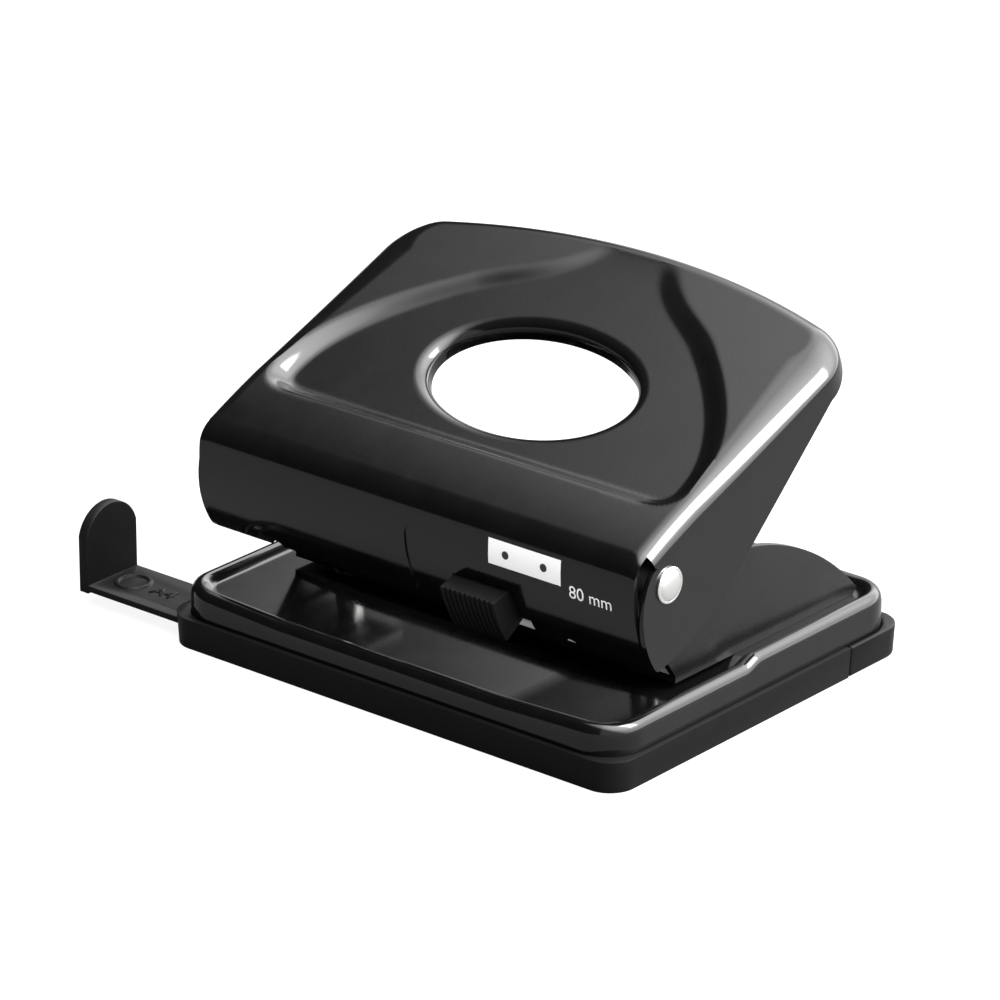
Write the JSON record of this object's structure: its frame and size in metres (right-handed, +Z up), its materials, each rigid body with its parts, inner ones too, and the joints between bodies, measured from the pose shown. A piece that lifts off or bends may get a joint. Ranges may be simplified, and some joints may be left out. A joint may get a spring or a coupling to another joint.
{
  "type": "hole punch",
  "caption": "Two-hole paper punch with a tipped steel lever, steel base plate, plastic chip tray and a pull-out paper guide.",
  "frame": {"origin": "middle of the chip tray's underside, where the punch stands", "axes": "+Z up, +X to the user's right along the lever's axle, +Y to the back, away from the paper's way in"},
  "size_m": [0.1528, 0.0986, 0.079],
  "materials": {
    "black_lacquer": "gloss black lacquer on pressed steel",
    "black_lacquer_base": "gloss black lacquer on pressed steel",
    "black_lacquer_frame": "black lacquer on steel, less gloss",
    "black_plastic": "black moulded plastic, fine texture",
    "guide_plastic": "black satin moulded plastic",
    "slide_plastic": "black satin moulded plastic, ribbed",
    "spacer_nylon": "black nylon",
    "bright_steel": "bright plated steel",
    "plain_steel": "plain zinc-plated steel",
    "tool_steel": "ground tool steel",
    "spring_steel": "plated spring steel"
  },
  "bodies": {
    "base": {"base_plate": "black_lacquer_base", "tray_hinge_band": "black_plastic", "die_plate": "plain_steel", "punch_frame": "black_lacquer_frame", "pin_guide_left": "black_lacquer_frame", "pin_guide_right": "black_lacquer_frame", "frame_rivets": "bright_steel", "pin_spring_left": "spring_steel", "pin_spring_right": "spring_steel"},
    "lever": {"lever_handle": "black_lacquer", "axle_pin": "bright_steel", "axle_cap": "bright_steel", "axle_spacer_left": "spacer_nylon", "axle_spacer_right": "spacer_nylon", "press_pad_left": "plain_steel", "press_pad_right": "plain_steel"},
    "punch_left": {"punch_pin_left": "tool_steel", "pin_clip_left": "spring_steel", "spring_washer_left": "spring_steel"},
    "punch_right": {"punch_pin_right": "tool_steel", "pin_clip_right": "spring_steel", "spring_washer_right": "spring_steel"},
    "tray": {"chip_tray": "black_plastic"},
    "guide": {"paper_guide": "guide_plastic"},
    "lock": {"lock_slider": "slide_plastic", "slider_backplate": "slide_plastic"}
  },
  "joints": [
    {"name": "lever_hinge", "type": "hinge", "parent": "base", "child": "lever", "pos_m": [0, -0.0328, 0.0416], "axis": [1, 0, 0], "range_deg": [-25, 0], "stiffness_Nm_per_rad": 0.6, "springref_deg": 34.38},
    {"name": "punch_left_slide", "type": "slide", "parent": "base", "child": "punch_left", "axis": [0, 0, 1], "range_m": [-0.0085, 0], "deforming": ["pin_spring_left"]},
    {"name": "punch_right_slide", "type": "slide", "parent": "base", "child": "punch_right", "axis": [0, 0, 1], "range_m": [-0.0085, 0], "deforming": ["pin_spring_right"]},
    {"name": "tray_hinge", "type": "hinge", "parent": "base", "child": "tray", "pos_m": [0, 0.0295, 0.0003], "axis": [1, 0, 0], "range_deg": [0, 60]},
    {"name": "guide_slide", "type": "slide", "parent": "tray", "child": "guide", "axis": [1, 0, 0], "range_m": [-0.055, 0.025]},
    {"name": "lock_slide", "type": "slide", "parent": "lever", "child": "lock", "axis": [1, 0, 0], "range_m": [0, 0.004]}
  ],
  "couplings": [
    {"joint": "punch_left_slide", "follows": "lever_hinge", "m_per_rad": 0.018875},
    {"joint": "punch_right_slide", "follows": "lever_hinge", "m_per_rad": 0.018875}
  ]
}
